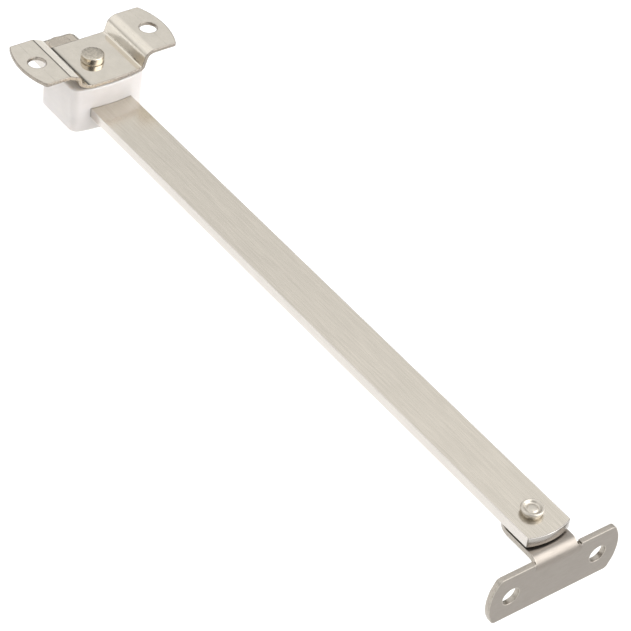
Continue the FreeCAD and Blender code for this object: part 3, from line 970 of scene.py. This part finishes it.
@dataclass
class Graph:
    """The nodes of one material or of the sky, and short ways to add to them."""

    tree: bpy.types.NodeTree
    shader: bpy.types.Node
    place: Socket

    @classmethod
    def start(cls, material: bpy.types.Material) -> "Graph":
        """Give a material one Principled shader, and read the object's own coordinates."""
        material.use_nodes = True
        tree = material.node_tree
        tree.nodes.clear()
        output = tree.nodes.new("ShaderNodeOutputMaterial")
        shader = tree.nodes.new("ShaderNodeBsdfPrincipled")
        tree.links.new(shader.outputs["BSDF"], output.inputs["Surface"])
        return cls(tree, shader, tree.nodes.new("ShaderNodeTexCoord").outputs["Object"])

    def node(self, kind: str, **options: object) -> bpy.types.Node:
        """Add a node and set its options."""
        node = self.tree.nodes.new("ShaderNode" + kind)
        for name, value in options.items():
            setattr(node, name, value)
        return node

    def feed(self, socket: Socket, value: object) -> None:
        """Join another socket to a socket, or give it a plain value."""
        if isinstance(value, Socket):
            self.tree.links.new(value, socket)
        else:
            socket.default_value = value

    def set(self, **values: object) -> None:
        """Feed the shader's own sockets, an underscore standing for a space."""
        for name, value in values.items():
            self.feed(self.shader.inputs[name.replace("_", " ")], value)

    def axis(self, name: str) -> Socket:
        """Read one coordinate of the place: X, Y or Z."""
        parts = self.node("SeparateXYZ")
        self.feed(parts.inputs[0], self.place)
        return parts.outputs[name]

    def toward(self, vector: Sequence[float]) -> Socket:
        """Measure how far the place lies along a vector."""
        dot = self.node("VectorMath", operation="DOT_PRODUCT")
        self.feed(dot.inputs[0], self.place)
        self.feed(dot.inputs[1], vector)
        return dot.outputs["Value"]

    def noise(self, pitch: Sequence[float], detail: float = 3.0, roughness: float = 0.5) -> Socket:
        """Add noise whose features have a given size along each axis.

        Args:
            pitch: The features' size along X, Y and Z, in millimetres.
            detail: How many finer layers it has.
            roughness: How strong the finer layers are.

        Returns:
            The noise, about 0.5 on average.
        """
        mapping = self.node("Mapping")
        self.feed(mapping.inputs["Scale"], [1.0 / (p * MM) for p in pitch])
        self.feed(mapping.inputs["Vector"], self.place)
        node = self.node("TexNoise")
        names = ("Vector", "Scale", "Detail", "Roughness")
        for name, value in zip(names, (mapping.outputs["Vector"], 1.0, detail, roughness)):
            self.feed(node.inputs[name], value)
        return node.outputs["Fac"]

    def spread(self, source: Socket, low: float, high: float, to_low: float = 0.0,
               to_high: float = 1.0, kind: str = "LINEAR") -> Socket:
        """Carry the range from low to high over to another range, clamped at its ends."""
        node = self.node("MapRange", interpolation_type=kind)
        names = ("Value", "From Min", "From Max", "To Min", "To Max")
        for name, value in zip(names, (source, low, high, to_low, to_high)):
            self.feed(node.inputs[name], value)
        return node.outputs["Result"]

    def math(self, kind: str, first: Socket, second: object = 0.0) -> Socket:
        """Combine a value with another value or a number."""
        node = self.node("Math", operation=kind)
        self.feed(node.inputs[0], first)
        self.feed(node.inputs[1], second)
        return node.outputs[0]

    def times(self, first: Socket, second: object) -> Socket:
        """Multiply a value by another value or a number."""
        return self.math("MULTIPLY", first, second)

    def plus(self, first: Socket, second: object) -> Socket:
        """Add another value or a number to a value."""
        return self.math("ADD", first, second)

    def blend(self, share: Socket, first: object, second: object) -> Socket:
        """Mix two colours, each a colour or a socket, by a share."""
        node = self.node("Mix", data_type="RGBA")
        self.feed(node.inputs["Factor"], share)
        for socket, colour in ((node.inputs[6], first), (node.inputs[7], second)):
            self.feed(socket, colour if isinstance(colour, Socket) else (*colour, 1.0))
        return node.outputs[2]

    def bump(self, height: Socket, depth: float) -> None:
        """Raise the surface by a height, given the depth in millimetres, and join it to the shader."""
        node = self.node("Bump")
        self.feed(node.inputs["Distance"], depth * MM)
        self.feed(node.inputs["Strength"], 1.0)
        self.feed(node.inputs["Height"], height)
        self.set(Normal=node.outputs["Normal"])


@dataclass(frozen=True)
class Finish:
    """What every finish has: a name, a colour, and its least and greatest roughness."""

    name: str
    colour: Triple = (0.60, 0.557, 0.487)
    gloss: tuple[float, float] = (0.17, 0.26)
    metallic: float = 1.0

    def mottle(self, graph: Graph, source: Socket, dark: float, light: float,
               reach: float = 0.15) -> Socket:
        """Vary the colour from a dark to a light shade while a noise crosses the middle.

        Args:
            graph: The material's nodes.
            source: The noise.
            dark: The dark shade, as a share of the colour.
            light: The light shade.
            reach: How far on each side of 0.5 the noise counts.

        Returns:
            The mottled colour.
        """
        share = graph.spread(source, 0.5 - reach, 0.5 + reach)
        return graph.blend(share, shade(self.colour, dark), shade(self.colour, light))

    def painted_edge_highlight(self, graph: Graph, tone: Socket, share: float, lift: float) -> Socket:
        """Paint a highlight on the outer edges by brightening the colour there.

        Args:
            graph: The material's nodes.
            tone: The colour elsewhere.
            share: How much of the bright shade shows.
            lift: The bright shade, as a share of the colour.

        Returns:
            The colour with its painted edge highlight.
        """
        # painted highlight: edges found by pointiness are lightened
        edge = graph.spread(graph.node("NewGeometry").outputs["Pointiness"], 0.52, 0.60)
        return graph.blend(graph.times(edge, share), tone, shade(self.colour, lift))

    def roughness(self, graph: Graph, source: Socket, reach: float = 0.15) -> Socket:
        """Vary the roughness from its least to its greatest while a noise crosses the middle."""
        return graph.spread(source, 0.5 - reach, 0.5 + reach, *self.gloss)

    def paint(self, graph: Graph) -> None:
        """Lay the finish's own nodes."""
        raise NotImplementedError

    def make(self) -> bpy.types.Material:
        """Build the material."""
        material = bpy.data.materials.new(self.name)
        graph = Graph.start(material)
        self.paint(graph)
        graph.set(Metallic=self.metallic)
        return material


@dataclass(frozen=True)
class BrushedSteel(Finish):
    """Stainless steel with a fine straight grain, and painted shade past the X where its end starts."""

    grain: Grain = Grain.ALONG_X
    length: float = 9.0
    width: float = 0.16
    contrast: float = 0.09
    relief: float = 0.012
    # end: the X where the end face's painted shade starts, 0 for none
    end: float = 0.0

    def streaks(self, graph: Graph, share: float, widen: float, detail: float, fade: float) -> Socket:
        """Add streaks, long along the grain and narrow across it.

        Args:
            graph: The material's nodes.
            share: Their length, as a share of the finish's own.
            widen: Their width, as a share of the finish's own.
            detail: How many finer layers they have.
            fade: How strong the finer layers are.

        Returns:
            The streaks, about 0.5 on average.
        """
        sizes = [self.length * share if axis else self.width * widen for axis in self.grain.value]
        return graph.noise(sizes, detail, fade)

    def paint(self, graph: Graph) -> None:
        """Build fine and broad streaks that vary colour, gloss and height together."""
        fine = self.streaks(graph, 1.0, 1.0, 4.0, 0.65)
        broad = self.streaks(graph, 1.6, 3.2, 3.0, 0.6)
        cloud = graph.noise((11.0, 5.0, 5.0), 3.0, 0.55)
        streak = graph.plus(graph.times(fine, 0.62), graph.times(broad, 0.38))
        tone = self.mottle(graph, streak, 1 - self.contrast, 1 + self.contrast * 0.8, 0.12)
        tone = graph.blend(graph.spread(cloud, 0.40, 0.70, 0.0, 0.35), tone, shade(self.colour, 0.93))
        # painted shade: past the end's X the colour is darkened to stand in for the dim light the end face
        # reflects
        if self.end:
            end_face_shade = graph.spread(graph.axis("X"), self.end - 0.4 * MM, self.end)
            tone = graph.blend(end_face_shade, tone, shade(self.colour, 0.62))
        # painted highlight on the outer edges
        graph.set(Base_Color=self.painted_edge_highlight(graph, tone, 0.7, 1.25),
                  Roughness=graph.spread(streak, 0.35, 0.65, self.gloss[1], self.gloss[0]))
        graph.bump(streak, self.relief)


@dataclass(frozen=True)
class PolishedSteel(Finish):
    """Sheet steel with a bright mill finish: nearly a mirror, with faint haze, dents and scuffs.

    scribe is how far a layout line lies from the middle, and levels are the heights of the sheet's
    middle and of its tabs.
    """

    colour: Triple = (0.665, 0.62, 0.545)
    gloss: tuple[float, float] = (0.07, 0.13)
    scribe: float = 0.0
    levels: tuple[float, float] = (0.0, 0.0)

    def paint(self, graph: Graph) -> None:
        """Build a soft ripple, patches of haze, short scuffs and a layout line across each tab."""
        haze = graph.noise((5.0, 5.0, 5.0), 4.0, 0.6)
        scuff = graph.noise((2.4, 0.16, 2.4), 3.0, 0.65)
        grit = graph.noise((0.30, 0.30, 0.30), 3.0, 0.6)
        scar = graph.times(graph.spread(scuff, 0.60, 0.70), graph.spread(haze, 0.42, 0.60))
        scar = graph.math("MAXIMUM", scar, self.scribed_line(graph))
        tone = self.mottle(graph, haze, 0.95, 1.03)
        tone = graph.blend(graph.times(scar, 0.45), tone, shade(self.colour, 0.66))
        rough = graph.plus(self.roughness(graph, haze), graph.times(self.formed(graph), 0.2))
        # painted highlight on the outer edges
        graph.set(Base_Color=self.painted_edge_highlight(graph, tone, 0.6, 1.15),
                  Roughness=graph.plus(rough, graph.times(scar, 0.18)))
        graph.bump(graph.plus(haze, graph.times(grit, 0.10)), 0.006)

    def formed(self, graph: Graph) -> Socket:
        """Mark where bending has dulled the sheet, between the middle's level and the tabs' level.

        The bend where Y is positive is rubbed five times as dull as the other.
        """
        low, high = self.levels
        level = graph.axis("Z")
        rising = graph.spread(level, low + 0.25 * MM, low + 0.8 * MM)
        falling = graph.spread(level, high - 0.3 * MM, high, 1.0, 0.0)
        side = graph.spread(graph.axis("Y"), -1 * MM, 1 * MM, 0.2, 1.0)
        return graph.times(graph.times(rising, falling), side)

    def scribed_line(self, graph: Graph) -> Socket:
        """Draw a broken hairline at the screw holes' distance from the middle, on both sides.

        It is 1 where Y, made positive, is within 0.05 mm of that distance, and fades with a noise
        that runs along the line.
        """
        far = graph.math("SUBTRACT", graph.math("ABSOLUTE", graph.axis("Y")), self.scribe)
        near = graph.spread(graph.math("ABSOLUTE", far), 0.05 * MM, 0.10 * MM, 1.0, 0.0)
        broken = graph.noise((3.0, 30.0, 30.0), 2.0, 0.5)
        return graph.times(near, graph.spread(broken, 0.42, 0.58, 0.15, 0.95))


@dataclass(frozen=True)
class CutEdge(Finish):
    """The sheared edge of sheet steel: dull, with fine marks where the punch dragged."""

    gloss: tuple[float, float] = (0.22, 0.42)
    speckle: float = 0.8

    def paint(self, graph: Graph) -> None:
        """Build upright drag marks and dark torn specks."""
        drag = graph.noise((0.25, 0.25, 1.6), 4.0, 0.65)
        torn = graph.noise((0.7, 0.7, 0.35), 3.0, 0.6)
        tone = self.mottle(graph, drag, 0.84, 1.16, 0.14)
        specks = graph.spread(torn, 0.50, 0.66, 0.0, self.speckle)
        graph.set(Base_Color=graph.blend(specks, tone, shade(self.colour, 0.50)),
                  Roughness=self.roughness(graph, drag, 0.2))
        graph.bump(graph.plus(drag, torn), 0.02)


@dataclass(frozen=True)
class TurnedSteel(Finish):
    """A turned or headed piece: smooth sides, and a grainy struck face above a given height."""

    face: float = 1.0

    def paint(self, graph: Graph) -> None:
        """Build rings of fine turning marks, and grain on the struck face."""
        grain = graph.noise((0.55, 0.7, 0.55), 4.0, 0.65)
        marks = graph.noise((1.4, 1.4, 0.12), 3.0, 0.6)
        struck = graph.spread(graph.axis("Z"), self.face - 0.26 * MM, self.face - 0.12 * MM, 0.12, 0.9)
        pitted = graph.times(graph.spread(grain, 0.40, 0.60), struck)
        tone = self.mottle(graph, marks, 0.94, 1.05)
        tone = graph.blend(graph.times(pitted, 0.8), tone, shade(self.colour, 0.55))
        # painted highlight on the outer edges
        graph.set(Base_Color=self.painted_edge_highlight(graph, tone, 0.4, 1.2),
                  Roughness=graph.plus(self.roughness(graph, marks, 0.2), graph.times(struck, 0.22)))
        graph.bump(graph.plus(graph.times(grain, struck), graph.times(marks, 0.05)), 0.03)


@dataclass(frozen=True)
class Nylon(Finish):
    """Natural white nylon, slightly translucent, with a moulded surface."""

    colour: Triple = (0.66, 0.625, 0.605)
    gloss: tuple[float, float] = (0.34, 0.46)
    metallic: float = 0.0

    def paint(self, graph: Graph) -> None:
        """Build a fine moulded grain, faint flow marks and light scattered below the surface."""
        flow = graph.noise((6.0, 6.0, 2.5), 3.0, 0.5)
        grain = graph.noise((0.28, 0.28, 0.28), 3.0, 0.6)
        graph.set(Base_Color=self.mottle(graph, flow, 0.975, 1.02), Roughness=self.roughness(graph, grain),
                  Subsurface_Weight=0.35, Subsurface_Radius=(1.0, 0.85, 0.7), Subsurface_Scale=1.8 * MM,
                  IOR=1.53)
        graph.bump(graph.plus(graph.times(grain, 0.4), flow), 0.02)


@dataclass(frozen=True)
class FrictionPad(Finish):
    """Dense moulded friction material with flecks."""

    colour: Triple = (0.11, 0.095, 0.085)
    gloss: tuple[float, float] = (0.86, 0.7)
    metallic: float = 0.0
    fleck: Triple = (0.34, 0.28, 0.2)

    def paint(self, graph: Graph) -> None:
        """Build pale flecks in a dark, matt ground."""
        fleck = graph.noise((0.35, 0.5, 0.35), 4.0, 0.7)
        tone = self.mottle(graph, graph.noise((2.5, 2.5, 2.5), 3.0, 0.5), 0.8, 1.0)
        graph.set(Base_Color=graph.blend(graph.spread(fleck, 0.60, 0.68, 0.0, 0.8), tone, self.fleck),
                  Roughness=self.roughness(graph, fleck, 0.2))
        graph.bump(fleck, 0.05)


@dataclass(frozen=True)
class PaleFloor(Finish):
    """Plain pale paper under the object."""

    name: str = "pale_floor"
    colour: Triple = (0.88, 0.88, 0.875)
    metallic: float = 0.0

    def paint(self, graph: Graph) -> None:
        """Build matt paper with a hardly visible tooth."""
        tooth = graph.noise((3.0, 3.0, 3.0), 2.0, 0.5)
        graph.set(Base_Color=graph.blend(tooth, shade(self.colour, 0.995), self.colour), Roughness=0.9)


# ---------------------------------------------------------------- the assembly


class Body(Enum):
    """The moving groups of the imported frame."""

    FRAME = "frame"
    BLOCK = "block"
    ARM = "arm"
    BRACKET = "bracket"


@dataclass
class WindowStay:
    """The whole stay: every piece, what it stands for, what it rides on and its finish."""

    washer_bore: float = 2.02 * MM
    finishes: dict[str, bpy.types.Material] = field(default_factory=dict)

    def mix_finishes(self) -> None:
        """Make each finish once; the record's slots keep their names, and the others vary them."""
        plate, plate_box = FramePlate(), span("frame_plate")
        levels = (plate_box.low[2] + plate.thick, plate_box.high[2])
        arm_end = span("arm_bar").high[0] - ArmBar.end_bow
        makers = (
            PolishedSteel("polished_steel", scribe=plate.pitch, levels=levels),
            CutEdge("plate_edge", (0.37, 0.33, 0.285)),
            CutEdge("bracket_edge", (0.41, 0.375, 0.33), (0.28, 0.40), speckle=0.25),
            CutEdge("stop_edge", (0.50, 0.465, 0.40), (0.20, 0.32), speckle=0.15),
            TurnedSteel("turned_steel", (0.58, 0.53, 0.45), (0.13, 0.22), face=span("pivot_pin").high[2]),
            TurnedSteel("rivet_steel", (0.60, 0.56, 0.495), (0.36, 0.46)),
            TurnedSteel("stop_rivet_steel", (0.52, 0.47, 0.40), (0.15, 0.26)),
            BrushedSteel("brushed_steel"),
            # arm_edge darkens the bar's end face with painted shade
            BrushedSteel("arm_edge", (0.64, 0.605, 0.565), contrast=0.05, relief=0.006, end=arm_end),
            BrushedSteel("stop_steel", (0.56, 0.505, 0.43), (0.12, 0.20), contrast=0.05),
            BrushedSteel("spring_steel", (0.40, 0.40, 0.41), length=8.0),
            BrushedSteel("washer_steel", gloss=(0.30, 0.45), grain=Grain.NONE, width=0.5, contrast=0.14),
            BrushedSteel("satin_steel", (0.285, 0.257, 0.228), (0.29, 0.36), grain=Grain.ALONG_Y,
                         length=2.6, width=0.3, contrast=0.04, relief=0.003),
            Nylon("white_nylon"),
            FrictionPad("friction_pad"),
        )
        self.finishes = {maker.name: maker.make() for maker in makers}

    def dress(self, piece: bpy.types.Object, node: str, body: Body, slot: str, finish: str = "",
              cut: str = "") -> None:
        """Put a new piece in a CAD node's place and give it its finish.

        Args:
            piece: The new piece.
            node: The CAD node that it stands for.
            body: The moving group that it rides on.
            slot: The record's slot for it.
            finish: Its finish, where that isn't the slot's own.
            cut: The finish of its cut edges, where that differs.
        """
        piece.data.materials[0] = self.finishes[finish or slot]
        piece.data.materials[1] = self.finishes[cut or finish or slot]
        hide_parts(node)
        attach(piece, body.value)
        LOG.info("%s: %d faces, %s", piece.name, len(piece.data.polygons), slot)

    def ring(self, name: str, node: str, body: Body, edge: float) -> None:
        """Make and dress a washer, given its rounded edge."""
        self.dress(washer(name, node, self.washer_bore, edge), node, body, "washer_steel")

    def pad(self, name: str, node: str) -> None:
        """Make and dress a friction pad that fills its node's box."""
        box = span(node)
        pad = Slab(thick=box.size[2], edge=0.25 * MM, top=box.high[2])
        self.dress(pad.plain(name, box_outline(box, 0.6 * MM)), node, Body.BLOCK, "friction_pad")

    def build(self) -> None:
        """Build every piece in order, and dress the nodes that stay."""
        self.mix_finishes()
        steel, turned = "brushed_steel", "turned_steel"
        self.dress(FramePlate().build(), "frame_plate", Body.FRAME, "polished_steel", cut="plate_edge")
        self.dress(PivotPin().build(), "pivot_pin", Body.FRAME, turned)
        self.ring("thrust_washer_ring", "thrust_washer", Body.FRAME, 0.06 * MM)
        self.dress(BlockHousing().build(), "block_housing", Body.BLOCK, "white_nylon")
        self.dress(ArmBar().build(), "arm_bar", Body.ARM, steel, cut="arm_edge")
        self.dress(TailStop().build(), "tail_stop", Body.ARM, steel, "stop_steel", "stop_edge")
        self.dress(TailStopRivet().build(), "tail_stop_rivet", Body.ARM, turned, "stop_rivet_steel")
        self.dress(BracketRivet().build(), "bracket_rivet", Body.ARM, turned, "rivet_steel")
        self.ring("bracket_spacer_ring", "bracket_spacer", Body.ARM, 0.12 * MM)
        self.dress(SashBracket().build(), "sash_bracket", Body.BRACKET, "satin_steel", cut="bracket_edge")
        self.pad("upper_pad", "upper_friction_pad")
        self.pad("lower_pad", "lower_friction_pad")
        for node, slot in (("pivot_saddle", "spring_steel"), ("pressure_spring", "spring_steel"),
                           ("base_plate", steel)):
            kept = frame["nodes"][node]
            kept.data.materials.clear()
            kept.data.materials.append(self.finishes[slot])
            LOG.info("%s: kept, %s", node, slot)


# ---------------------------------------------------------------- floor, light and camera


@dataclass
class Studio:
    """A pale floor well below the stay, soft light from above, and the camera.

    sky pairs the sine of a direction's height with the sky's strength there.
    """

    floor_drop: float = 0.55
    floor_half: float = 4.0
    floor_flat: float = 2.5
    sky: tuple[tuple[float, float], ...] = (
        (0.0, 1.4), (0.14, 1.4), (0.2, 0.08), (0.34, 0.1), (0.5, 0.84), (0.7, 1.2), (1.0, 1.2))
    side_way: Triple = (0.667, 0.745, 0.0)
    side_light: float = 0.45
    shadow_way: Triple = (0.566, -0.506, 0.651)
    glow_way: Triple = (0.60, 0.50, 0.624)
    glow: float = 2.5
    lens: float = 146.25
    eye: Triple = (0.504569, -0.350121, 0.432693)
    right: Triple = (0.589071, 0.800565, 0.109963)
    up: Triple = (-0.576858, 0.321309, 0.750996)
    ahead: Triple = (-0.565889, 0.505823, -0.651086)

    def add(self, name: str, data: bpy.types.ID) -> bpy.types.Object:
        """Put a new object in the scene."""
        item = bpy.data.objects.new(name, data)
        bpy.context.scene.collection.objects.link(item)
        return item

    def floor(self) -> None:
        """Lay a wide floor whose far edge curves up like studio paper.

        Its height past the flat part is the square of the distance beyond it, times a sixth.
        """
        count = 41
        place = np.linspace(-self.floor_half, self.floor_half, count)
        x, y = np.meshgrid(place, place, indexing="ij")
        far = np.maximum(np.hypot(x, y) - self.floor_flat, 0)
        grid = np.stack([x, y, far * far / 6 - self.floor_drop], axis=-1)
        mesh = bpy.data.meshes.new("studio_floor")
        mesh.from_pydata(grid.reshape(-1, 3).tolist(), [], grid_faces(count, count))
        mesh.shade_smooth()
        mesh.materials.append(PaleFloor().make())
        self.add("studio_floor", mesh)

    def softbox(self, name: str, place: Sequence[float], aim: Sequence[float], size: float,
                power: float) -> None:
        """Hang a square soft light that faces a point and shows in no reflection."""
        data = bpy.data.lights.new(name, "AREA")
        data.shape = "SQUARE"
        data.size = size
        data.energy = power
        lamp = self.add(name, data)
        way = Vector(aim) - Vector(place)
        lamp.matrix_world = Matrix.Translation(place) @ way.to_track_quat("-Z", "Y").to_matrix().to_4x4()
        lamp.visible_glossy = False

    def paint_sky(self, tree: bpy.types.NodeTree) -> None:
        """Make a sky that is bright overhead and at the horizon, with a dark belt between the two.

        The strength follows the direction's height, plus a share of the squared distance to either
        side of the camera's line of sight. It is doubled, except in a round patch behind the
        camera, and a soft glow is added at the bracket's end.
        """
        ground = tree.nodes["Background"]
        graph = Graph(tree, ground, tree.nodes.new("ShaderNodeTexCoord").outputs["Generated"])
        height = graph.node("ValToRGB")
        stops = height.color_ramp.elements
        while len(stops) < len(self.sky):
            stops.new(0.5)
        for stop, (place, value) in zip(stops, self.sky):
            stop.position = place
            stop.color = (value / 2, value / 2, value / 2, 1.0)
        graph.feed(height.inputs["Fac"], graph.toward((0.0, 0.0, 1.0)))
        sides = graph.math("POWER", graph.math("ABSOLUTE", graph.toward(self.side_way)), 2.0)
        light = graph.plus(height.outputs["Color"], graph.times(sides, self.side_light / 2))
        shadow = graph.spread(graph.toward(self.shadow_way), 0.86, 0.98, 2.0, 0.4, kind="SMOOTHSTEP")
        glow = graph.spread(graph.toward(self.glow_way), 0.79, 0.94, 0.0, self.glow, kind="SMOOTHSTEP")
        graph.set(Strength=graph.plus(graph.times(light, shadow), glow), Color=(1.0, 1.0, 1.0, 1.0))

    def light(self) -> None:
        """Set the sky and the softboxes."""
        world = bpy.data.worlds.new("studio_sky")
        world.use_nodes = True
        self.paint_sky(world.node_tree)
        bpy.context.scene.world = world
        self.softbox("top_light", (-0.8, 0.1, 1.3), (-0.5, 0.3, -0.5), 1.0, 3.0)
        self.softbox("left_light", (-1.3, -1.5, 1.0), (0.12, 0.0, -0.02), 1.6, 3.4)

    def camera(self) -> None:
        """Stand the camera above the right front, turned a little about its own axis."""
        data = bpy.data.cameras.new("stay_camera")
        data.lens = self.lens
        data.sensor_width = 36.0
        data.clip_end = 20.0
        camera = self.add("stay_camera", data)
        turn = Matrix((self.right, self.up, -Vector(self.ahead))).transposed().to_4x4()
        camera.matrix_world = Matrix.Translation(self.eye) @ turn
        bpy.context.scene.camera = camera

    def build(self) -> None:
        """Set up the floor, the light, the camera and a plain view of the colours."""
        self.floor()
        self.light()
        self.camera()
        bpy.context.scene.view_settings.view_transform = "Standard"
        LOG.info("studio: floor %.2f m below the frame's zero", self.floor_drop)


def main() -> None:
    """Build the stay and its studio."""
    logging.basicConfig(level=logging.INFO, format="%(name)s: %(message)s")
    WindowStay().build()
    Studio().build()


if __name__ == "__main__":
    main()
